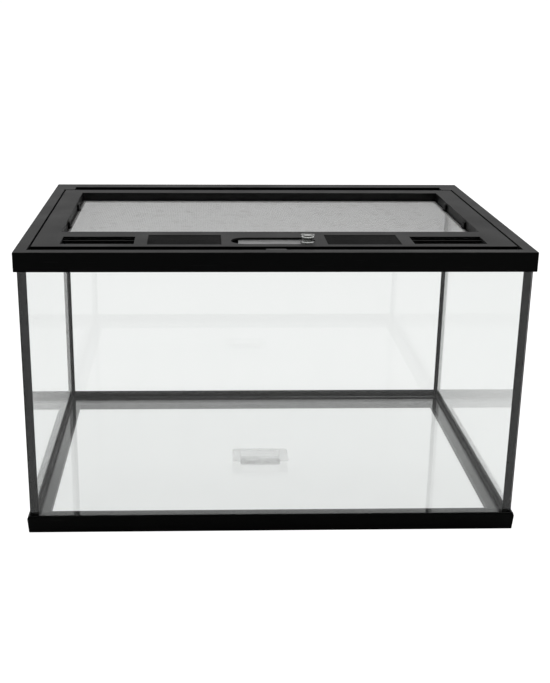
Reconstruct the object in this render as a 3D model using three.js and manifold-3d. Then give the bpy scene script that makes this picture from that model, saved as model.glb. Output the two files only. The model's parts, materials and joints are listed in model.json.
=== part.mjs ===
// A glass tank for hamsters and other small pets. Five panes stand in a black plastic base frame
// and carry a black plastic top frame. A lid with a steel mesh is hinged at its back edge, and a
// clear slide in the lid covers a feeding slot. A clear dish lies on the floor pane.
//
// Millimetres. +X is the right, +Y is the back, +Z is up. The origin is on the ground, under the
// middle of the tank.

import * as THREE from "three";
import { mergeVertices } from "three/addons/utils/BufferGeometryUtils.js";
import Module from "manifold-3d";

const wasm = await Module();
wasm.setup();

// ---------------------------------------------------------------- driving dimensions

const WIDTH = 600;
const DEPTH = 445;
const HEIGHT = 352;

// Play between neighbouring pieces, and the wall of the black mouldings.
const GAP = 0.3;
const WALL = 2.5;

// Glass and the silicone in its joints.
const GLASS = 5;
const FLOOR_GLASS = 6;
const PANE_TOP = 345;
const BOND = 1.2;
const FILLET = 5;
const FLOOR_FILLET = 4;

// Base frame: a skirt round the panes, a ledge under the floor pane, and a leg along its inner edge.
// The skirt leans out up to a bevel. The ledge's widths are measured from the skirt's foot.
const BASE_HEIGHT = 22.4;
const BASE_WALL = 2;
const BASE_LEDGE_TOP = 8;
const BASE_LEDGE = { thick: 2.2, side: 22.7, frontAndBack: 37.2 };
const BASE_FLARE = { out: 1.3, bevel: 4 };

// Top frame: a skirt round the panes, a flat rim, and a ledge that carries the lid.
const TOP_FRAME_HEIGHT = 23;
const TOP_SKIRT = 3.5;
const RIM = 14.3;
const BACK_RIM = 24;
const LID_LEDGE = { top: 339.7, side: 15.7, front: 26.2 };
const TROUGH = { top: 338.2, front: 168 };
const CORNER_BLOCK = { inner: 271, front: 178.6 };
const CATCH = { halfWidth: 12, reach: 5, bottom: 345 };

// Lid: a flat plate with a skirt round its edge and a deeper wall round the mesh.
const LID_SEAM = 2.5;
const FINGER_GAP = 16.2;
const REAR_GAP = 23.5;
const LID_BOTTOM = 340;
const MESH_FRAME = { side: 26.2, front: 80.5, back: 23.5, bottom: 338.5, lip: 4, lipThick: 1.2 };
const MESH_THICK = 0.8;
const CLIP = { length: 9, thick: 2.5, foot: 4, footThick: 1.4, height: 8, fromMiddle: 58 };

// What is set into the lid's front bar. Each place is its middle, measured from the lid's front
// edge and from the tank's middle.
const VENT = { x: 208.3, y: 33, width: 86, depth: 39 };
const VENT_SLAT = { fromMiddle: 11, width: 3, height: 3 };
const VENT_FINS = { count: 5, thick: 1.6, height: 2 };
const RIBS = { x: 106.2, y: 36.5, width: 87.3, depth: 51, recess: 1.6, pitch: 3, thick: 1.7, base: 0.4 };
const SLOT = { x: -1, y: 30.5, length: 100, width: 34 };
const TRACK = { left: -128, right: 57, halfWidth: 23.5, rail: 3.2, base: 2 };
const FEED_HOLE = { left: -40, right: 34, width: 29 };
const CHUTE = { wall: 2, bottom: 342 };
const SLIDE = { left: -42.3, right: 52, halfWidth: 19.9, thick: 1.9 };

// The slide's knob is a round cup with a lip, wide enough for a fingertip.
const KNOB = { x: 40, radius: 8.5, waist: 7.3, bore: 5.7, base: 1.5, neck: 1, lip: 1.4, top: 359.5 };

// Hinge: two stub pins on one axis, in bosses on the lid and on the top frame.
const HINGE = { y: 171, z: 346, pin: 2, bore: 2.3, boss: 7, lidBoss: 7.5 };

// Feed dish: a shallow bowl with a flat rim.
const DISH = { x: -5.6, y: -39, width: 76.5, depth: 42, height: 9, corner: 7 };
const BOWL = { width: 55, depth: 30, corner: 6, wall: 1.4 };

// ---------------------------------------------------------------- places that follow from them

const halfWidth = WIDTH / 2;
const halfDepth = DEPTH / 2;
const paneX = halfWidth - TOP_SKIRT - GAP;
const paneY = halfDepth - TOP_SKIRT - GAP;
const baseX = paneX + GAP + BASE_WALL;
const baseY = paneY + GAP + BASE_WALL;
const floorTop = BASE_LEDGE_TOP + GAP + FLOOR_GLASS;
const rimX = halfWidth - RIM;
const rimFront = -halfDepth + RIM;
const rimBack = halfDepth - BACK_RIM;
const lidX = rimX - LID_SEAM;
const lidFront = rimFront + FINGER_GAP;
const lidBack = rimBack - REAR_GAP;
const plateBottom = HEIGHT - WALL;
const meshX = lidX - MESH_FRAME.side;
const meshFront = lidFront + MESH_FRAME.front;
const meshBack = lidBack - MESH_FRAME.back;
const meshBottom = MESH_FRAME.bottom + MESH_FRAME.lipThick + GAP;
const meshMiddle = (meshFront + meshBack) / 2;
const ventY = lidFront + VENT.y;
const slotY = lidFront + SLOT.y;
const slideTop = plateBottom - GAP;
const slideBottom = slideTop - SLIDE.thick;

// ---------------------------------------------------------------- solids and how they are joined

function box(x0, x1, y0, y1, z0, z1) {
  const geometry = new THREE.BoxGeometry(x1 - x0, y1 - y0, z1 - z0);
  geometry.translate((x0 + x1) / 2, (y0 + y1) / 2, (z0 + z1) / 2);
  return solid(geometry);
}

function solid(geometry) {
  const bare = new THREE.BufferGeometry();
  bare.setAttribute("position", geometry.getAttribute("position"));
  bare.setIndex(geometry.getIndex());
  const merged = mergeVertices(bare, 1e-4);
  const vertProperties = new Float32Array(merged.getAttribute("position").array);
  const triVerts = new Uint32Array(merged.getIndex().array);
  return new wasm.Manifold(new wasm.Mesh({ numProp: 3, vertProperties, triVerts }));
}

function prism(shape, z0, z1, curveSegments = 6) {
  const options = { depth: z1 - z0, bevelEnabled: false, curveSegments };
  const geometry = new THREE.ExtrudeGeometry(shape, options);
  geometry.translate(0, 0, z0);
  return solid(geometry);
}

function roundedRectangle(x, y, width, depth, radius) {
  const right = x + width / 2 - radius;
  const left = x - width / 2 + radius;
  const back = y + depth / 2 - radius;
  const front = y - depth / 2 + radius;
  const shape = new THREE.Shape();
  shape.absarc(right, front, radius, -Math.PI / 2, 0);
  shape.absarc(right, back, radius, 0, Math.PI / 2);
  shape.absarc(left, back, radius, Math.PI / 2, Math.PI);
  shape.absarc(left, front, radius, Math.PI, 1.5 * Math.PI);
  shape.closePath();
  return shape;
}

// A round bar along X.
function bar(radius, x0, x1, y, z) {
  const geometry = new THREE.CylinderGeometry(radius, radius, x1 - x0, 24);
  geometry.rotateZ(Math.PI / 2);
  geometry.translate((x0 + x1) / 2, y, z);
  return solid(geometry);
}

function join(...pieces) {
  return pieces.reduce((whole, piece) => whole.add(piece));
}

function cut(whole, ...tools) {
  return tools.reduce((rest, tool) => rest.subtract(tool), whole);
}

// A rectangular tube, given by its outer edges and the thickness of its wall.
function tube(x, front, back, wall, z0, z1) {
  const outer = box(-x, x, front, back, z0, z1);
  const inner = box(-x + wall, x - wall, front + wall, back - wall, z0 - 1, z1 + 1);
  return cut(outer, inner);
}

// A block on the ground whose sides lean out as they rise and are bevelled back in at the top.
function flaredBlock(x, y, height, flare) {
  const corners = [];
  for (const [z, out] of [[0, 0], [height - flare.bevel, flare.out], [height, 0]]) {
    for (const sideX of [-1, 1]) {
      for (const sideY of [-1, 1]) {
        corners.push([sideX * (x + out), sideY * (y + out), z]);
      }
    }
  }
  return wasm.Manifold.hull(corners);
}

function material(color, roughness, metalness, opacity = 1) {
  const transparent = opacity < 1;
  return new THREE.MeshStandardMaterial({
    color, roughness, metalness, opacity, transparent, flatShading: true,
  });
}

const blackPlastic = () => material(0x1b1b1b, 0.55, 0);
const darkPlastic = () => material(0x0d0d0d, 0.6, 0);
const silicone = () => material(0x0a0a0a, 0.35, 0);
const clearGlass = () => material(0xdfeae6, 0.05, 0, 0.3);
const clearPlastic = () => material(0xeef0ee, 0.12, 0, 0.45);
const steel = () => material(0xa9a9a4, 0.4, 1);

function mesh(name, whole, finish) {
  const surface = whole.getMesh();
  const geometry = new THREE.BufferGeometry();
  geometry.setAttribute("position", new THREE.BufferAttribute(surface.vertProperties, 3));
  geometry.setIndex(new THREE.BufferAttribute(surface.triVerts, 1));
  const piece = new THREE.Mesh(geometry, finish);
  piece.name = name;
  return piece;
}

// ---------------------------------------------------------------- tank

// The skirt and the leg stand on the ground, and the ledge between them holds the glass clear of
// it. Under each corner the space between skirt and leg is filled, as a foot.
function baseFrame() {
  const openingX = baseX - BASE_LEDGE.side;
  const openingY = baseY - BASE_LEDGE.frontAndBack;
  const ledgeBottom = BASE_LEDGE_TOP - BASE_LEDGE.thick;
  const innerX = baseX - BASE_WALL;
  const innerY = baseY - BASE_WALL;
  const skirt = cut(
    flaredBlock(baseX, baseY, BASE_HEIGHT, BASE_FLARE),
    box(-innerX, innerX, -innerY, innerY, -1, HEIGHT),
  );
  const legX = openingX + BASE_WALL;
  const legY = openingY + BASE_WALL;
  const leg = tube(legX, -legY, legY, BASE_WALL, 0, BASE_LEDGE_TOP);
  const ledge = cut(
    box(-baseX + 1, baseX - 1, -baseY + 1, baseY - 1, ledgeBottom, BASE_LEDGE_TOP),
    box(-openingX, openingX, -openingY, openingY, 0, HEIGHT),
  );
  const footX = (baseX - openingX) / 2;
  const footY = (baseY - openingY) / 2;
  const feet = [];
  for (const sideX of [-1, 1]) {
    for (const sideY of [-1, 1]) {
      const foot = box(1 - footX, footX - 1, 1 - footY, footY - 1, 0, BASE_LEDGE_TOP - 1);
      feet.push(foot.translate([sideX * (openingX + footX), sideY * (openingY + footY), 0]));
    }
  }
  return join(skirt, leg, ledge, ...feet);
}

function floorPane() {
  const x = paneX - GLASS - GAP;
  const y = paneY - GLASS - GAP;
  return box(-x, x, -y, y, floorTop - FLOOR_GLASS, floorTop);
}

// side is -1 for the front pane and 1 for the back pane, which both run the full width.
function longPane(side) {
  const pane = box(-paneX, paneX, -GLASS / 2, GLASS / 2, BASE_LEDGE_TOP + GAP, PANE_TOP);
  return pane.translate([0, side * (paneY - GLASS / 2), 0]);
}

// The side panes stand between the long panes, with room for the bond at each end.
function sidePane(side) {
  const y = paneY - GLASS - BOND - 2 * GAP;
  const pane = box(-GLASS / 2, GLASS / 2, -y, y, BASE_LEDGE_TOP + GAP, PANE_TOP);
  return pane.translate([side * (paneX - GLASS / 2), 0, 0]);
}

// Black silicone in a corner: the bond across the side pane's edge, and a hollow fillet inside.
// The outline is drawn from the outer edge of the glass (across) and the long pane's face (along).
function cornerSeal(sideX, sideY) {
  const across = GLASS + GAP;
  const bondEnd = GAP + BOND;
  const outline = new THREE.Shape();
  outline.moveTo(GAP, GAP);
  outline.lineTo(across + FILLET, GAP);
  outline.quadraticCurveTo(across + 1, bondEnd + 1, across, bondEnd + FILLET);
  outline.lineTo(across, bondEnd);
  outline.lineTo(GAP, bondEnd);
  outline.closePath();
  const bottom = floorTop + FLOOR_FILLET + 2 * GAP;
  const top = LID_LEDGE.top - WALL - GAP;
  const seal = prism(outline, bottom, top, 5);
  const turned = seal.scale([-sideX, -sideY, 1]);
  return turned.translate([sideX * paneX, sideY * (paneY - GLASS), 0]);
}

// One hollow fillet of silicone runs round the floor pane, against all four walls.
function floorSeal() {
  const x = paneX - GLASS - GAP;
  const y = paneY - GLASS - GAP;
  const section = new THREE.Shape();
  section.moveTo(0, 0);
  section.lineTo(FLOOR_FILLET, 0);
  section.quadraticCurveTo(0.8, 0.8, 0, FLOOR_FILLET);
  section.closePath();
  const bead = (length) => prism(section, -length / 2, length / 2, 5);
  const bottom = floorTop + GAP;
  const front = bead(2 * x).rotate([90, 0, 90]).translate([0, -y, bottom]);
  const left = bead(2 * y).rotate([90, 0, 0]).translate([-x, 0, bottom]);
  const back = front.rotate([0, 0, 180]);
  const right = left.rotate([0, 0, 180]);
  return join(front, back, left, right);
}

// ---------------------------------------------------------------- top frame

// The rim is flat on top. A wall goes down from its inner edge to the ledge that carries the lid.
// Behind the lid the ledge drops to the floor of a trough, so the lid's back edge has room to turn.
function topFrame() {
  const bottom = HEIGHT - TOP_FRAME_HEIGHT;
  const troughBottom = TROUGH.top - WALL;
  const ledgeBottom = LID_LEDGE.top - WALL;
  const wallX = rimX + WALL;
  const wallFront = rimFront - WALL;
  const wallBack = rimBack + WALL;
  const openingX = rimX - LID_LEDGE.side;
  const openingFront = rimFront + LID_LEDGE.front;
  const riserFront = TROUGH.front - WALL;

  const well = box(-rimX, rimX, rimFront, rimBack, bottom - 1, HEIGHT + 1);
  const opening = box(-openingX, openingX, openingFront, riserFront + 1, bottom - 1, HEIGHT + 1);
  const underRiser = box(-openingX, openingX, openingFront, TROUGH.front, bottom - 1, HEIGHT + 1);

  const skirt = tube(halfWidth, -halfDepth, halfDepth, TOP_SKIRT, bottom, HEIGHT);
  const x = halfWidth - 1;
  const y = halfDepth - 1;
  const rim = cut(box(-x, x, -y, y, plateBottom, HEIGHT), well);
  const wall = cut(box(-wallX, wallX, wallFront, wallBack, ledgeBottom, HEIGHT - 1), well);
  const rearWall = cut(box(-wallX, wallX, riserFront, wallBack, troughBottom, HEIGHT - 1), well);
  const ledge = cut(
    box(-wallX, wallX, wallFront, riserFront + 1, ledgeBottom, LID_LEDGE.top),
    opening,
  );
  const riser = cut(
    box(-wallX, wallX, riserFront, TROUGH.front, troughBottom, LID_LEDGE.top),
    underRiser,
  );
  const trough = box(-wallX, wallX, riserFront + 1, wallBack, troughBottom, TROUGH.top);
  const body = join(skirt, rim, wall, rearWall, ledge, riser, trough, catchBlock());
  const blocks = [-1, 1].map((side) => cornerBlock(side, wallX, wallBack));
  const bosses = [-1, 1].map((side) => frameBoss(side, ledgeBottom));
  const bores = bar(HINGE.bore, -paneX, paneX, HINGE.y, HINGE.z);
  return cut(join(body, ...blocks, ...bosses), bores);
}

// A block that fills each back corner of the well, flush with the rim.
function cornerBlock(side, wallX, wallBack) {
  const half = (wallX - CORNER_BLOCK.inner) / 2;
  const block = box(-half, half, CORNER_BLOCK.front, wallBack, TROUGH.top - 1, HEIGHT);
  return block.translate([side * (wallX - half), 0, 0]);
}

// The hinge boss stands between the frame's inner wall and the side pane.
function frameBoss(side, bottom) {
  const half = (paneX - GLASS - 2 * GAP - rimX) / 2;
  const front = HINGE.y - HINGE.boss;
  const back = HINGE.y + HINGE.boss;
  return box(-half, half, front, back, bottom, HEIGHT - 1).translate([side * (rimX + half), 0, 0]);
}

// A small catch for the lid, in the middle of the front rim.
function catchBlock() {
  const x = CATCH.halfWidth;
  return box(-x, x, rimFront - 1, rimFront + CATCH.reach, CATCH.bottom, HEIGHT);
}

// ---------------------------------------------------------------- lid

function ventHole(side, spare, z0, z1) {
  const x = side * VENT.x;
  return box(x - VENT.width / 2 - spare, x + VENT.width / 2 + spare,
    ventY - VENT.depth / 2 - spare, ventY + VENT.depth / 2 + spare, z0, z1);
}

function ribRecess(side, spare, z0, z1) {
  const x = side * RIBS.x;
  const y = lidFront + RIBS.y;
  return box(x - RIBS.width / 2 - spare, x + RIBS.width / 2 + spare,
    y - RIBS.depth / 2 - spare, y + RIBS.depth / 2 + spare, z0, z1);
}

function hingeBoss(side) {
  const half = HINGE.lidBoss / 2;
  const boss = box(-half, half, HINGE.y - HINGE.boss, lidBack, LID_BOTTOM, HEIGHT - 1);
  return boss.translate([side * (lidX - half), 0, 0]);
}

// The bore for a hinge pin, from the lid's edge to the inner end of its boss.
function hingeBore(side) {
  const half = (HINGE.lidBoss + 2) / 2;
  return bar(HINGE.bore, -half, half, HINGE.y, HINGE.z).translate([side * (lidX + 1 - half), 0, 0]);
}

function lidFrame() {
  const plate = box(-lidX, lidX, lidFront, lidBack, plateBottom, HEIGHT);
  const skirt = tube(lidX, lidFront, lidBack, WALL, LID_BOTTOM, HEIGHT - 1);
  const wallX = meshX + WALL;
  const wall = box(-wallX, wallX, meshFront - WALL, meshBack + WALL, MESH_FRAME.bottom, HEIGHT - 1);
  const lipTop = MESH_FRAME.bottom + MESH_FRAME.lipThick;
  const well = box(-meshX, meshX, meshFront, meshBack, lipTop, HEIGHT + 1);
  const lip = MESH_FRAME.lip;
  const window = box(lip - meshX, meshX - lip, meshFront + lip, meshBack - lip, 0, HEIGHT);
  const body = join(plate, skirt, wall, hingeBoss(-1), hingeBoss(1));
  const slot = roundedRectangle(SLOT.x, slotY, SLOT.length, SLOT.width, SLOT.width / 2 - 0.1);
  const recessFloor = HEIGHT - RIBS.recess;
  return cut(
    body,
    well,
    window,
    ventHole(-1, 0, plateBottom - 1, HEIGHT + 1),
    ventHole(1, 0, plateBottom - 1, HEIGHT + 1),
    ribRecess(-1, 0, recessFloor, HEIGHT + 1),
    ribRecess(1, 0, recessFloor, HEIGHT + 1),
    prism(slot, plateBottom - 1, HEIGHT + 1),
    hingeBore(-1),
    hingeBore(1),
  );
}

function lidMesh() {
  return box(GAP - meshX, meshX - GAP, meshFront + GAP, meshBack - GAP,
    meshBottom, meshBottom + MESH_THICK);
}

// A clip on the mesh frame's side wall, with a foot that keeps the mesh down.
function meshClip(side, y) {
  const bottom = meshBottom + MESH_THICK + GAP;
  const upright = box(0, CLIP.thick, y - CLIP.length / 2, y + CLIP.length / 2,
    bottom, bottom + CLIP.height);
  const foot = box(0, CLIP.foot, y - CLIP.length / 2, y + CLIP.length / 2,
    bottom, bottom + CLIP.footThick);
  const clip = join(upright, foot);
  return clip.scale([-side, 1, 1]).translate([side * (meshX - GAP), 0, 0]);
}

// A vent grille hangs under the plate: a frame, one slat just below the surface, and fins below it.
function ventGrille(side) {
  const top = plateBottom - GAP;
  const bottom = LID_BOTTOM + 1;
  const x = side * VENT.x;
  const frame = cut(ventHole(side, WALL, bottom, top), ventHole(side, 0, 0, HEIGHT));
  const reach = VENT.width / 2 + 1;
  const slatY = ventY + VENT_SLAT.fromMiddle;
  const slat = box(x - reach, x + reach, slatY - VENT_SLAT.width / 2, slatY + VENT_SLAT.width / 2,
    top - VENT_SLAT.height, top);
  const pitch = VENT.depth / (VENT_FINS.count + 1);
  const fins = [];
  for (let fin = 1; fin <= VENT_FINS.count; fin += 1) {
    const middle = ventY - VENT.depth / 2 + fin * pitch;
    const half = VENT_FINS.thick / 2;
    fins.push(box(x - reach, x + reach, middle - half, middle + half,
      bottom, bottom + VENT_FINS.height));
  }
  return join(frame, slat, ...fins);
}

// A thin panel with fine ribs along X, laid in a recess in the lid.
function ribbedPanel(side) {
  const bottom = HEIGHT - RIBS.recess + GAP;
  const top = HEIGHT - GAP;
  const plate = ribRecess(side, -GAP, bottom, bottom + RIBS.base);
  const x = side * RIBS.x;
  const reach = RIBS.width / 2 - GAP;
  const count = Math.floor((RIBS.depth - 2 * GAP) / RIBS.pitch);
  const first = lidFront + RIBS.y - ((count - 1) * RIBS.pitch) / 2;
  const ribs = [];
  for (let rib = 0; rib < count; rib += 1) {
    const y = first + rib * RIBS.pitch;
    const half = RIBS.thick / 2;
    ribs.push(box(x - reach, x + reach, y - half, y + half, bottom, top));
  }
  return join(plate, ...ribs);
}

// The track hangs under the feeding slot. Its two rails hold the slide up against the plate, and a
// short chute leads down from its hole.
function slideTrack() {
  const top = plateBottom - GAP;
  const railBottom = slideBottom - GAP;
  const front = slotY - TRACK.halfWidth;
  const back = slotY + TRACK.halfWidth;
  const block = box(TRACK.left, TRACK.right, front, back, railBottom - TRACK.base, top);
  const channel = box(TRACK.left - 1, TRACK.right - 2, front + TRACK.rail, back - TRACK.rail,
    railBottom, top + 1);
  const hole = (spare, z0, z1) => box(FEED_HOLE.left - spare, FEED_HOLE.right + spare,
    slotY - FEED_HOLE.width / 2 - spare, slotY + FEED_HOLE.width / 2 + spare, z0, z1);
  const chute = hole(CHUTE.wall, CHUTE.bottom, railBottom - 1);
  return cut(join(block, chute), channel, hole(0, 0, HEIGHT));
}

function feedSlide() {
  return box(SLIDE.left, SLIDE.right, slotY - SLIDE.halfWidth, slotY + SLIDE.halfWidth,
    slideBottom, slideTop);
}

// A round cup: a foot on the slide, a waist, and a lip round its open top.
function slideKnob() {
  const bottom = slideTop + GAP;
  const neck = bottom + KNOB.base + KNOB.neck;
  const outline = [
    [0, bottom],
    [KNOB.radius, bottom],
    [KNOB.radius, bottom + KNOB.base],
    [KNOB.waist, neck],
    [KNOB.waist, KNOB.top - 2 * KNOB.lip],
    [KNOB.radius, KNOB.top - KNOB.lip],
    [KNOB.radius, KNOB.top - KNOB.lip / 2],
    [KNOB.radius - KNOB.lip / 2, KNOB.top],
    [KNOB.bore + KNOB.lip / 2, KNOB.top],
    [KNOB.bore, KNOB.top - KNOB.lip / 2],
    [KNOB.bore, neck],
    [KNOB.bore - KNOB.neck, bottom + KNOB.base],
    [0, bottom + KNOB.base],
  ];
  const profile = outline.map(([radius, height]) => new THREE.Vector2(radius, height));
  const geometry = new THREE.LatheGeometry(profile, 24);
  geometry.rotateX(Math.PI / 2);
  geometry.translate(KNOB.x, slotY, 0);
  return solid(geometry);
}

// side is -1 for the left pin and 1 for the right one.
function hingePin(side) {
  const length = HINGE.lidBoss + LID_SEAM + WALL;
  const pin = bar(HINGE.pin, -length / 2, length / 2, HINGE.y, HINGE.z);
  return pin.translate([side * (lidX - HINGE.lidBoss + length / 2), 0, 0]);
}

// ---------------------------------------------------------------- dish

function foodDish() {
  const bottom = floorTop + GAP;
  const top = bottom + DISH.height;
  const bowl = (spare) => roundedRectangle(DISH.x, DISH.y, BOWL.width - 2 * spare,
    BOWL.depth - 2 * spare, BOWL.corner - spare);
  const rim = roundedRectangle(DISH.x, DISH.y, DISH.width, DISH.depth, DISH.corner);
  return cut(
    join(prism(rim, top - BOWL.wall, top), prism(bowl(0), bottom, top - BOWL.wall / 2)),
    prism(bowl(BOWL.wall), bottom + BOWL.wall, top + 1),
  );
}

// ---------------------------------------------------------------- assembly

const tank = new THREE.Group();
tank.add(mesh("base_frame", baseFrame(), blackPlastic()));
tank.add(mesh("floor_pane", floorPane(), clearGlass()));
tank.add(mesh("front_pane", longPane(-1), clearGlass()));
tank.add(mesh("back_pane", longPane(1), clearGlass()));
tank.add(mesh("left_pane", sidePane(-1), clearGlass()));
tank.add(mesh("right_pane", sidePane(1), clearGlass()));
tank.add(mesh("front_left_seal", cornerSeal(-1, -1), silicone()));
tank.add(mesh("front_right_seal", cornerSeal(1, -1), silicone()));
tank.add(mesh("back_left_seal", cornerSeal(-1, 1), silicone()));
tank.add(mesh("back_right_seal", cornerSeal(1, 1), silicone()));
tank.add(mesh("floor_seal", floorSeal(), silicone()));
tank.add(mesh("top_frame", topFrame(), blackPlastic()));

const lid = new THREE.Group();
lid.add(mesh("lid_frame", lidFrame(), blackPlastic()));
lid.add(mesh("lid_mesh", lidMesh(), steel()));
lid.add(mesh("slide_track", slideTrack(), darkPlastic()));
for (const side of [-1, 1]) {
  const name = side < 0 ? "left" : "right";
  lid.add(mesh(`${name}_vent_grille`, ventGrille(side), darkPlastic()));
  lid.add(mesh(`${name}_ribbed_panel`, ribbedPanel(side), darkPlastic()));
  lid.add(mesh(`${name}_hinge_pin`, hingePin(side), steel()));
  for (const end of ["front", "back"]) {
    const y = meshMiddle + (end === "front" ? -CLIP.fromMiddle : CLIP.fromMiddle);
    lid.add(mesh(`${name}_${end}_mesh_clip`, meshClip(side, y), darkPlastic()));
  }
}

const slide = new THREE.Group();
slide.add(mesh("feed_slide", feedSlide(), clearPlastic()));
slide.add(mesh("slide_knob", slideKnob(), clearPlastic()));
lid.add(slide);

const cage = new THREE.Group();
cage.add(tank);
cage.add(lid);
cage.add(mesh("food_dish", foodDish(), clearPlastic()));

export default cage;
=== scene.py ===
"""The looks of the glass hamster cage: materials, rounded mouldings, woven mesh, light and camera.

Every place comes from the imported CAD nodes. Lengths are in metres, in the frame of the CAD part:
+X to the right, +Y to the back, +Z up, with the origin on the ground under the tank.
"""

import json
import math

import bmesh
import bpy
import numpy as np
from mathutils import Matrix, Vector


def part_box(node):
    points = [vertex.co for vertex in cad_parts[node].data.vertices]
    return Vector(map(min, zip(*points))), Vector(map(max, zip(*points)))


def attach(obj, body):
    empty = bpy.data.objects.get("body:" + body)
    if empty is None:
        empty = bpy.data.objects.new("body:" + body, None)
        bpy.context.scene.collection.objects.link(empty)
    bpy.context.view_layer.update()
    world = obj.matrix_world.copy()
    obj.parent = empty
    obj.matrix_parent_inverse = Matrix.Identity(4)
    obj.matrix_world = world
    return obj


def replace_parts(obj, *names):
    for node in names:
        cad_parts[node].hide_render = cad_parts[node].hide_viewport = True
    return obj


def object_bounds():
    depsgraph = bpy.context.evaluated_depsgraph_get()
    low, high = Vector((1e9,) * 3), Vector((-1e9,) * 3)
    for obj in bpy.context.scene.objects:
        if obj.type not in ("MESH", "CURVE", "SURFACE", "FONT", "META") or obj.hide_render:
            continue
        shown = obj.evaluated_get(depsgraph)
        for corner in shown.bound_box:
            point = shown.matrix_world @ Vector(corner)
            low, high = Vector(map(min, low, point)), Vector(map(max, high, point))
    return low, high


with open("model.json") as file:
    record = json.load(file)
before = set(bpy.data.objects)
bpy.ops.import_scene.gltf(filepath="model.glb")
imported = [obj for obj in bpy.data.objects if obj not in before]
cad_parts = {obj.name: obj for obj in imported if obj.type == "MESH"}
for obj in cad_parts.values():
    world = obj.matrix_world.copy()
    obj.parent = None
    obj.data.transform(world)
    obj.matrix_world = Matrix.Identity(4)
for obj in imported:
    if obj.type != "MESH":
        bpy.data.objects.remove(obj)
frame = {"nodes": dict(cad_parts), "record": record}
cad_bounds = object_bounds()

MM = 0.001
scene = bpy.context.scene
node_body = {
    node: body
    for body, nodes in frame["record"]["behaviour"]["bodies"].items()
    for node in nodes
}
node_slot = {row["node"]: row["material_slot"] for row in frame["record"]["subparts"]}


# ---------------------------------------------------------------- camera

# The picture's frame, and where the camera stands and looks.
PICTURE_WIDTH, PICTURE_HEIGHT = 550, 683
CAMERA_PLACE = Vector((-0.0887, -1.4583, 0.6445))
CAMERA_YAW = math.radians(1.94)
CAMERA_PITCH = math.radians(18.45)
CAMERA_ROLL = math.radians(0.43)
FOCAL_LENGTH = 58.86
SHIFT = (0.0579, 0.0169)


def make_camera():
    data = bpy.data.cameras.new("camera")
    data.lens = FOCAL_LENGTH
    data.sensor_width = 36
    data.shift_x, data.shift_y = SHIFT
    data.clip_end = 100
    camera = bpy.data.objects.new("camera", data)
    scene.collection.objects.link(camera)
    ahead = Vector((
        math.sin(CAMERA_YAW) * math.cos(CAMERA_PITCH),
        math.cos(CAMERA_YAW) * math.cos(CAMERA_PITCH),
        -math.sin(CAMERA_PITCH),
    ))
    level = Vector((math.cos(CAMERA_YAW), -math.sin(CAMERA_YAW), 0))
    upright = level.cross(ahead)
    right = math.cos(CAMERA_ROLL) * level + math.sin(CAMERA_ROLL) * upright
    up = math.cos(CAMERA_ROLL) * upright - math.sin(CAMERA_ROLL) * level
    turn = Matrix((right, up, -ahead)).transposed()
    camera.matrix_world = Matrix.Translation(CAMERA_PLACE) @ turn.to_4x4()
    scene.camera = camera


# ---------------------------------------------------------------- material nodes


class Nodes:
    """A material's node tree, with short calls for the nodes that the materials here share."""

    def __init__(self, name):
        self.material = bpy.data.materials.new(name)
        self.material.use_nodes = True
        self.tree = self.material.node_tree
        self.tree.nodes.clear()
        self.place = self.add("ShaderNodeTexCoord").outputs["Object"]

    def add(self, kind, inputs=None, **settings):
        node = self.tree.nodes.new(kind)
        for name, value in settings.items():
            setattr(node, name, value)
        for name, value in (inputs or {}).items():
            if isinstance(value, bpy.types.NodeSocket):
                self.tree.links.new(value, node.inputs[name])
            else:
                node.inputs[name].default_value = value
        return node

    def noise(self, size, detail=3.0, stretch=None):
        """Noise whose blobs are about size metres across, stretched along the axes if asked."""
        place = self.place
        if stretch:
            place = self.add("ShaderNodeMapping", {"Vector": place, "Scale": stretch}).outputs[0]
        inputs = {"Vector": place, "Scale": 1 / size, "Detail": detail}
        return self.add("ShaderNodeTexNoise", inputs).outputs["Fac"]

    def span(self, value, low, high, to_low, to_high):
        """value from low to high becomes to_low to to_high."""
        inputs = {0: value, 1: low, 2: high, 3: to_low, 4: to_high}
        return self.add("ShaderNodeMapRange", inputs).outputs[0]

    def math(self, operation, a, b):
        return self.add("ShaderNodeMath", {0: a, 1: b}, operation=operation).outputs[0]

    def blend(self, share, a, b, clamp=True):
        """Colour a where share is 0, and b where it is 1."""
        inputs = {0: share, 6: a, 7: b}
        return self.add("ShaderNodeMix", inputs, data_type="RGBA", clamp_factor=clamp).outputs[2]

    def choose(self, share, a, b):
        """Number a where share is 0, and b where it is 1."""
        return self.add("ShaderNodeMix", {0: share, 2: a, 3: b}).outputs[0]

    def bump(self, height, distance, strength=1.0, under=None):
        inputs = {"Height": height, "Distance": distance, "Strength": strength}
        if under is not None:
            inputs["Normal"] = under
        return self.add("ShaderNodeBump", inputs).outputs[0]

    def attribute(self, name):
        return self.add("ShaderNodeAttribute", attribute_name=name).outputs["Fac"]

    def finish(self, shader):
        self.add("ShaderNodeOutputMaterial", {"Surface": shader})
        return self.material


def grey(level, warmth=0.0):
    return (level * (1 + warmth), level, level * (1 - warmth), 1)


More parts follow.
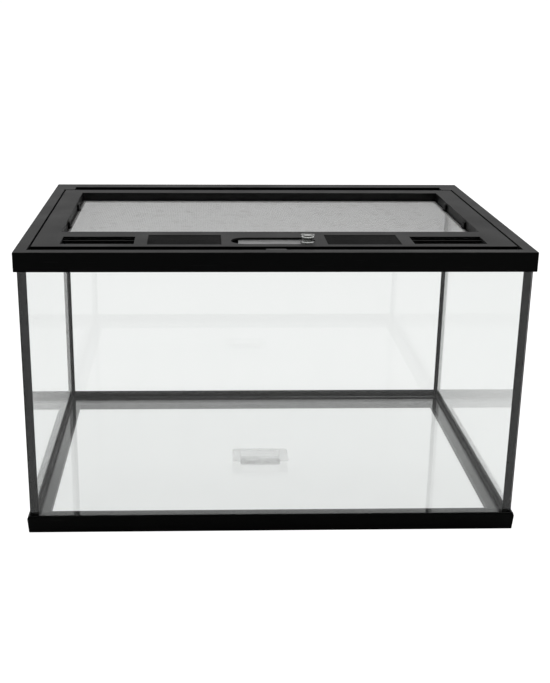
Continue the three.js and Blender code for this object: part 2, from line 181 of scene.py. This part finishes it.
def moulded_plastic(name, level, roughness, grain=1.0, scuff=0.03, gloss=0.45):
    """Black moulded plastic: a spark-eroded grain, faint flow marks, and paler worn edges."""
    n = Nodes(name)
    fine = n.noise(0.45 * MM, 2)
    coarse = n.noise(1.6 * MM, 3)
    cloud = n.noise(60 * MM, 4)
    speckle = n.span(n.math("ADD", fine, coarse), 0.7, 1.3, 0.72, 1.3)
    tone = n.math("MULTIPLY", speckle, n.span(cloud, 0.3, 0.7, 0.9, 1.1))
    body = n.blend(tone, grey(0), grey(level), clamp=False)
    rubbed = n.span(n.noise(9 * MM, 5), 0.45, 0.7, 0.15, 1.0)
    worn = n.math("MULTIPLY", n.attribute("edge"), rubbed)
    scratches = n.noise(2.5 * MM, 4, stretch=(0.06, 1.4, 1))
    scratch = n.span(scratches, 0.66, 0.72, 0.0, 0.35)
    marked = n.blend(n.math("MAXIMUM", worn, scratch), body, grey(level + scuff))
    rough = n.span(n.math("ADD", coarse, cloud), 0.7, 1.3, roughness - 0.06, roughness + 0.06)
    normal = n.bump(fine, 0.05 * MM * grain, 0.8)
    normal = n.bump(coarse, 0.05 * MM * grain, 0.6, under=normal)
    shader = n.add("ShaderNodeBsdfPrincipled", {
        "Base Color": marked,
        "Roughness": rough,
        "Normal": normal,
        "Specular IOR Level": gloss,
    })
    return n.finish(shader.outputs[0])


def silicone():
    """Black silicone pressed against glass: satin, with finger-smoothed ripples along the bead."""
    n = Nodes("silicone")
    ripple = n.noise(7 * MM, 3, stretch=(1, 1, 0.35))
    pore = n.noise(0.8 * MM, 2)
    tone = n.span(n.math("ADD", ripple, pore), 0.7, 1.3, 0.0, 1.0)
    colour = n.blend(tone, grey(0.0035), grey(0.009))
    normal = n.bump(ripple, 0.5 * MM, 0.25)
    normal = n.bump(pore, 0.05 * MM, 0.4, under=normal)
    shader = n.add("ShaderNodeBsdfPrincipled", {
        "Base Color": colour,
        "Roughness": n.span(ripple, 0.3, 0.7, 0.28, 0.45),
        "Normal": normal,
        "Specular IOR Level": 0.12,
    })
    return n.finish(shader.outputs[0])


def clear(name, tint, ior, haze, smudge, ripple):
    """Glass or clear plastic. Lamps and scattered light pass straight through it."""
    n = Nodes(name)
    wipe = n.noise(45 * MM, 5, stretch=(1, 1, 0.5))
    prints = n.noise(6 * MM, 4)
    mark = n.math("MULTIPLY", n.span(wipe, 0.5, 0.75, 0, 1), n.span(prints, 0.4, 0.7, 0.3, 1))
    shader = n.add("ShaderNodeBsdfPrincipled", {
        "Base Color": n.blend(mark, tint, tuple(c * 0.985 for c in tint[:3]) + (1,)),
        "Roughness": n.math("ADD", n.math("MULTIPLY", mark, smudge), haze),
        "Normal": n.bump(n.noise(90 * MM, 2), ripple, 0.3),
        "IOR": ior,
        "Transmission Weight": 1.0,
    })
    light = n.add("ShaderNodeLightPath")
    passing = n.math("MAXIMUM", light.outputs["Is Shadow Ray"], light.outputs["Is Diffuse Ray"])
    straight = n.add("ShaderNodeBsdfTransparent", {"Color": tuple(c * 0.96 for c in tint[:3]) + (1,)})
    mixed = n.add("ShaderNodeMixShader", {
        0: passing,
        1: shader.outputs[0],
        2: straight.outputs[0],
    })
    return n.finish(mixed.outputs[0])


def frosted(name, level, roughness):
    """Translucent plastic with a fine frosted grain and long wiping scuffs."""
    n = Nodes(name)
    grain = n.noise(0.5 * MM, 2)
    scuffs = n.noise(3 * MM, 4, stretch=(0.12, 1, 1))
    cloud = n.noise(25 * MM, 3)
    tone = n.span(n.math("ADD", scuffs, cloud), 0.75, 1.25, 0, 1)
    shader = n.add("ShaderNodeBsdfPrincipled", {
        "Base Color": n.blend(tone, grey(level * 0.88), grey(level * 1.1)),
        "Roughness": n.span(scuffs, 0.3, 0.7, roughness - 0.08, roughness + 0.1),
        "Normal": n.bump(grain, 0.03 * MM, 0.6),
        "IOR": 1.49,
        "Transmission Weight": 0.25,
    })
    return n.finish(shader.outputs[0])


def milky(name, level, roughness, opacity):
    """Clear plastic with a milky cast, a little rough from use."""
    n = Nodes(name)
    flow = n.noise(12 * MM, 4)
    scuffs = n.noise(2.5 * MM, 4, stretch=(0.3, 1, 1))
    light = n.add("ShaderNodeLightPath")
    shader = n.add("ShaderNodeBsdfPrincipled", {
        "Base Color": n.blend(n.span(flow, 0.3, 0.7, 0, 1), grey(level * 0.97), grey(level)),
        "Roughness": n.span(scuffs, 0.3, 0.7, roughness - 0.05, roughness + 0.08),
        "Normal": n.bump(flow, 0.1 * MM, 0.2),
        "IOR": 1.49,
        "Transmission Weight": 0.8,
        "Alpha": opacity,
    })
    straight = n.add("ShaderNodeBsdfTransparent", {"Color": grey(0.8)})
    mixed = n.add("ShaderNodeMixShader", {
        0: light.outputs["Is Shadow Ray"],
        1: shader.outputs[0],
        2: straight.outputs[0],
    })
    return n.finish(mixed.outputs[0])


def steel(name, level, roughness, along=(1, 1, 1)):
    """Bare steel, a little dull, with drawn streaks and spots of grime."""
    n = Nodes(name)
    streak = n.noise(1.5 * MM, 3, stretch=along)
    grime = n.noise(14 * MM, 4)
    colour = n.blend(n.span(streak, 0.3, 0.7, 0, 1), grey(level * 0.85, 0.01), grey(level))
    colour = n.blend(n.span(grime, 0.55, 0.75, 0, 0.4), colour, grey(level * 0.5, 0.04))
    shader = n.add("ShaderNodeBsdfPrincipled", {
        "Base Color": colour,
        "Metallic": 0.85,
        "Roughness": n.span(streak, 0.3, 0.7, roughness - 0.08, roughness + 0.08),
        "Normal": n.bump(streak, 0.03 * MM, 0.5),
    })
    return n.finish(shader.outputs[0])


GLASS_TINT = (0.985, 0.995, 0.99, 1)
materials = {
    "frame_plastic": moulded_plastic("frame_plastic", 0.0025, 0.5, gloss=0.38),
    "lid_plastic": moulded_plastic("lid_plastic", 0.006, 0.52, gloss=0.42),
    "dark_plastic": moulded_plastic("dark_plastic", 0.003, 0.6, scuff=0.008, gloss=0.25),
    "rib_plastic": moulded_plastic("rib_plastic", 0.0025, 0.62, grain=0.6, scuff=0.008, gloss=0.2),
    "silicone": silicone(),
    "clear_glass": clear("clear_glass", GLASS_TINT, 1.5, 0.0, 0.03, 0.02 * MM),
    "frosted_slide": frosted("frosted_slide", 0.42, 0.3),
    "clear_knob": clear("clear_knob", (0.55, 0.56, 0.55, 1), 1.49, 0.1, 0.1, 0.05 * MM),
    "clear_dish": milky("clear_dish", 0.97, 0.1, 0.36),
    "steel_mesh": steel("steel_mesh", 0.9, 0.42),
    "pin_steel": steel("pin_steel", 0.5, 0.32, along=(0.2, 1, 1)),
}


# ---------------------------------------------------------------- pieces made from the CAD nodes

# Points closer than this are one point, and faces within this angle are one face.
SAME_POINT = 0.005 * MM
FLAT = math.radians(1)
# Edges that turn by more than this are rounded, if they and their neighbours are long enough.
EDGE_TURN = math.radians(35)
EDGE_LENGTH, NEIGHBOUR_LENGTH = 3.0, 1.5
SHADING_TURN = math.radians(40)


def new_piece(name, mesh, node):
    """An object that stands for a CAD node, with that node's body, slot and material."""
    piece = bpy.data.objects.new(name, mesh)
    scene.collection.objects.link(piece)
    slot = node_slot[node]
    mesh.materials.clear()
    mesh.materials.append(materials[slot])
    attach(piece, node_body[node])
    return piece


def shell(node, shape):
    """The finished bmesh of a piece that replaces one CAD node, with smooth shading."""
    for face in shape.faces:
        face.smooth = True
    mesh = bpy.data.meshes.new(node + "_shell")
    shape.to_mesh(mesh)
    shape.free()
    piece = new_piece(node + "_shell", mesh, node)
    modifier = piece.modifiers.new("even_shading", "WEIGHTED_NORMAL")
    modifier.keep_sharp = True
    mesh.set_sharp_from_angle(angle=SHADING_TURN)
    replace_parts(piece, node)
    return piece


def soften(node, radius, segments=3):
    """A copy of a CAD node with its edges rounded. Its flat faces stay where they are."""
    shape = bmesh.new()
    shape.from_mesh(frame["nodes"][node].data)
    bmesh.ops.remove_doubles(shape, verts=shape.verts, dist=SAME_POINT)
    bmesh.ops.dissolve_limit(shape, angle_limit=FLAT, verts=shape.verts, edges=shape.edges)
    bmesh.ops.triangulate(shape, faces=shape.faces)
    roomy = {
        vert
        for vert in shape.verts
        if all(edge.calc_length() > NEIGHBOUR_LENGTH * radius for edge in vert.link_edges)
    }
    sharp = [
        edge
        for edge in shape.edges
        if len(edge.link_faces) == 2
        and edge.calc_face_angle() > EDGE_TURN
        and roomy.issuperset(edge.verts)
        and edge.calc_length() > EDGE_LENGTH * radius
    ]
    worn = shape.faces.layers.float.new("edge")
    made = bmesh.ops.bevel(
        shape, geom=sharp, offset=radius, offset_type="OFFSET", segments=segments,
        profile=0.5, affect="EDGES", clamp_overlap=True,
    )
    for face in made["faces"]:
        face[worn] = 1.0
    return shell(node, shape)


def rounded(outline, radius, steps=4):
    """An outline whose inner corners are short curves."""
    points = [Vector(outline[0])]
    for before, corner, after in zip(outline, outline[1:], outline[2:]):
        before, corner, after = Vector(before), Vector(corner), Vector(after)
        reach = min(radius, 0.45 * (before - corner).length, 0.45 * (after - corner).length)
        start = corner + reach * (before - corner).normalized()
        end = corner + reach * (after - corner).normalized()
        for step in range(steps + 1):
            share = step / steps
            near_start = start.lerp(corner, share)
            near_end = corner.lerp(end, share)
            points.append(near_start.lerp(near_end, share))
    points.append(Vector(outline[-1]))
    return points


# The knob's outline, as the CAD part has it: radii and heights.
KNOB_WAIST, KNOB_BORE = 7.3 * MM, 5.7 * MM
KNOB_BASE, KNOB_NECK, KNOB_LIP = 1.5 * MM, 1.0 * MM, 1.4 * MM


def turn_knob(sides=64):
    """The knob as a smooth cup: a foot, a waist, and a rounded lip round its open top."""
    low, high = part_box("slide_knob")
    radius = (high.x - low.x) / 2
    outline = rounded([
        (0, low.z),
        (radius, low.z),
        (radius, low.z + KNOB_BASE),
        (KNOB_WAIST, low.z + KNOB_BASE + KNOB_NECK),
        (KNOB_WAIST, high.z - 2 * KNOB_LIP),
        (radius, high.z - KNOB_LIP),
        (radius, high.z),
        (KNOB_BORE, high.z),
        (KNOB_BORE, low.z + KNOB_BASE),
        (0, low.z + KNOB_BASE),
    ], 0.5 * MM)
    middle = ((low + high) / 2).xy
    shape = bmesh.new()
    verts = [shape.verts.new((middle.x + r, middle.y, z)) for r, z in outline]
    edges = [shape.edges.new(pair) for pair in zip(verts, verts[1:])]
    bmesh.ops.spin(
        shape, geom=verts + edges, cent=(middle.x, middle.y, 0), axis=(0, 0, 1),
        angle=2 * math.pi, steps=sides, use_merge=True,
    )
    bmesh.ops.remove_doubles(shape, verts=shape.verts, dist=0.001 * MM)
    bmesh.ops.recalc_face_normals(shape, faces=shape.faces)
    return shell("slide_knob", shape)


# ---------------------------------------------------------------- woven mesh

WIRE = 0.4 * MM
WIRE_PITCH = 2.4 * MM
WIRE_SIDES = 4


def weave(name, node, along, across):
    """All the wires that run along one axis (0 or 1), going over and under the wires across."""
    low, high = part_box(node)
    middle = (low + high) / 2
    counts = [round((high[axis] - low[axis]) / WIRE_PITCH) for axis in (0, 1)]
    pitches = [(high[axis] - low[axis]) / counts[axis] for axis in (0, 1)]
    radius = WIRE / 2
    wires = counts[across] - 1
    stations = np.arange(counts[along] + 1)
    angles = np.arange(WIRE_SIDES) * 2 * math.pi / WIRE_SIDES
    points, faces = [], []
    for wire in range(wires):
        over = 1 if (wire % 2 == 0) == (along == 0) else -1
        rise = over * radius * np.where(stations % 2 == 0, 1, -1)
        ring = np.zeros((len(stations), WIRE_SIDES, 3))
        ring[:, :, along] = (low[along] + stations * pitches[along])[:, None]
        ring[:, :, across] = low[across] + (wire + 1) * pitches[across] + radius * np.cos(angles)
        ring[:, :, 2] = middle.z + rise[:, None] + radius * np.sin(angles)[None, :]
        first = wire * len(stations) * WIRE_SIDES
        points.append(ring.reshape(-1, 3))
        starts = first + stations[:-1, None] * WIRE_SIDES
        side = np.arange(WIRE_SIDES)[None, :]
        next_side = (side + 1) % WIRE_SIDES
        quads = np.stack([
            starts + side, starts + next_side,
            starts + next_side + WIRE_SIDES, starts + side + WIRE_SIDES,
        ], axis=-1)
        faces.append(quads.reshape(-1, 4))
        last = first + (len(stations) - 1) * WIRE_SIDES
        faces.append(np.array([[first + 3, first + 2, first + 1, first]]))
        faces.append(np.array([[last, last + 1, last + 2, last + 3]]))
    mesh = bpy.data.meshes.new(name)
    mesh.from_pydata(np.concatenate(points), [], np.concatenate(faces))
    mesh.polygons.foreach_set("use_smooth", np.ones(len(mesh.polygons), bool))
    shape = bmesh.new()
    shape.from_mesh(mesh)
    bmesh.ops.recalc_face_normals(shape, faces=shape.faces)
    shape.to_mesh(mesh)
    shape.free()
    return new_piece(name, mesh, node)


def make_mesh():
    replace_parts(weave("mesh_warp", "lid_mesh", 1, 0), "lid_mesh")
    weave("mesh_weft", "lid_mesh", 0, 1)


# ---------------------------------------------------------------- floor, studio and light


# Light that the floor gives out: seen directly, seen through glass, and to every other ray.
SEEN_WHITE = 1.02
THROUGH_GLASS = 0.77
GROUND_DARK = 0.002
# Share of the lamps' light that the floor scatters back.
FLOOR_MATT = 0.3
# Light from the surround: from behind, from the front, and from above.
SKY_BACK, SKY_FRONT, SKY_UP = 0.6, 0.006, 0.8
# Light from the surround that panes mirror: near the horizon, and higher up.
PANE_LOW, PANE_HIGH = 0.95, 0.6
FLOOR_HALF, SURROUND_RADIUS = 30, 29


def ray_kinds(n):
    """Three shares: a ray straight from the camera, one that only met glass, and any other ray.

    A ray counts as met by glass alone if nothing scattered it, and if it went through glass
    whenever something mirrored it.
    """
    light = n.add("ShaderNodeLightPath")
    plain = n.math("LESS_THAN", light.outputs["Diffuse Depth"], 0.5)
    mirrored = n.math("GREATER_THAN", light.outputs["Glossy Depth"], 0.5)
    outside = n.math("LESS_THAN", light.outputs["Transmission Depth"], 0.5)
    blocked = n.math("MULTIPLY", mirrored, outside)
    clear_view = n.math("MULTIPLY", plain, n.math("SUBTRACT", 1.0, blocked))
    return light.outputs["Is Camera Ray"], clear_view, mirrored


def sky(n):
    """Light from the surround by direction: bright above and behind, dark in front."""
    place = n.add("ShaderNodeVectorMath", {0: n.place}, operation="NORMALIZE").outputs[0]
    parts = n.add("ShaderNodeSeparateXYZ", {0: place})
    back = n.span(parts.outputs["Y"], -0.35, 0.75, SKY_FRONT, SKY_BACK)
    overhead = n.span(parts.outputs["Z"], 0.45, 0.9, 0.0, SKY_UP)
    overhead = n.math("MULTIPLY", overhead, n.span(parts.outputs["Y"], -0.3, 0.1, 0.0, 1.0))
    above = n.span(parts.outputs["Z"], -0.01, 0.03, 0.0, 1.0)
    return n.math("MULTIPLY", n.math("MAXIMUM", back, overhead), above)


def pane_sky(n):
    """Light from the surround in what a pane mirrors: brighter towards the horizon."""
    place = n.add("ShaderNodeVectorMath", {0: n.place}, operation="NORMALIZE").outputs[0]
    height = n.add("ShaderNodeSeparateXYZ", {0: place}).outputs["Z"]
    return n.span(height, 0.34, 0.46, PANE_LOW, PANE_HIGH)


def make_studio():
    """A pale floor and a white surround, with soft light from above and behind.

    Both give out light by how a ray reaches them, so that black plastic stays dark before white.
    """
    n = Nodes("studio_floor")
    camera_ray, clear_view, _ = ray_kinds(n)
    seen = n.choose(camera_ray, THROUGH_GLASS, SEEN_WHITE)
    strength = n.choose(clear_view, GROUND_DARK, seen)
    glow = n.add("ShaderNodeEmission", {"Color": grey(1.0), "Strength": strength})
    matt = n.add("ShaderNodeBsdfDiffuse", {"Color": grey(FLOOR_MATT)})
    floor_material = n.finish(
        n.add("ShaderNodeAddShader", {0: glow.outputs[0], 1: matt.outputs[0]}).outputs[0]
    )
    n = Nodes("studio_surround")
    _, clear_view, mirrored = ray_kinds(n)
    direct = n.math("MULTIPLY", clear_view, n.math("SUBTRACT", 1.0, mirrored))
    in_glass = n.math("MULTIPLY", clear_view, mirrored)
    strength = n.choose(direct, n.choose(in_glass, sky(n), pane_sky(n)), SEEN_WHITE)
    surround_material = n.finish(
        n.add("ShaderNodeEmission", {"Color": grey(1.0), "Strength": strength}).outputs[0]
    )
    for material in (floor_material, surround_material):
        material.cycles.emission_sampling = "NONE"

    shape = bmesh.new()
    bmesh.ops.create_grid(shape, x_segments=1, y_segments=1, size=FLOOR_HALF)
    floor = stage_object("floor", shape, floor_material)
    floor.location.z = cad_bounds[0][2] - 0.1 * MM
    shape = bmesh.new()
    bmesh.ops.create_icosphere(shape, subdivisions=4, radius=SURROUND_RADIUS)
    surround = stage_object("surround", shape, surround_material)
    surround.visible_shadow = False
    area_light("overhead", (0.0, 0.1, 2.4), (0, 0.0, 0.1), 1.8, 1.4, 12)
    area_light("sparkle", (0.9, -1.1, 1.9), (0.04, -0.16, 0.35), 0.25, 0.25, 2)


def stage_object(name, shape, material):
    mesh = bpy.data.meshes.new(name)
    shape.to_mesh(mesh)
    shape.free()
    mesh.materials.append(material)
    piece = bpy.data.objects.new(name, mesh)
    scene.collection.objects.link(piece)
    return piece


def area_light(name, place, target, width, height, power):
    data = bpy.data.lights.new(name, "AREA")
    data.shape = "RECTANGLE"
    data.size = width
    data.size_y = height
    data.energy = power
    lamp = bpy.data.objects.new(name, data)
    scene.collection.objects.link(lamp)
    lamp.location = place
    lamp.rotation_euler = (Vector(target) - Vector(place)).to_track_quat("-Z", "Y").to_euler()
    lamp.visible_camera = False
    lamp.visible_transmission = False
    lamp.visible_glossy = False


# ---------------------------------------------------------------- the whole picture

make_camera()
scene.view_settings.view_transform = "Standard"
for node in ("base_frame", "top_frame"):
    soften(node, 0.7 * MM)
soften("lid_frame", 0.4 * MM)
for node in ("slide_track", "feed_slide"):
    soften(node, 0.3 * MM, 2)
soften("food_dish", 0.45 * MM)
for node in ("floor_pane", "front_pane", "back_pane", "left_pane", "right_pane"):
    soften(node, 0.5 * MM, 2)
for side in ("left", "right"):
    for part in ("vent_grille", "ribbed_panel", "front_mesh_clip", "back_mesh_clip", "hinge_pin"):
        soften(f"{side}_{part}", 0.2 * MM, 2)
    for end in ("front", "back"):
        soften(f"{end}_{side}_seal", 0.3 * MM, 2)
soften("floor_seal", 0.3 * MM, 2)
turn_knob()
make_mesh()
make_studio()
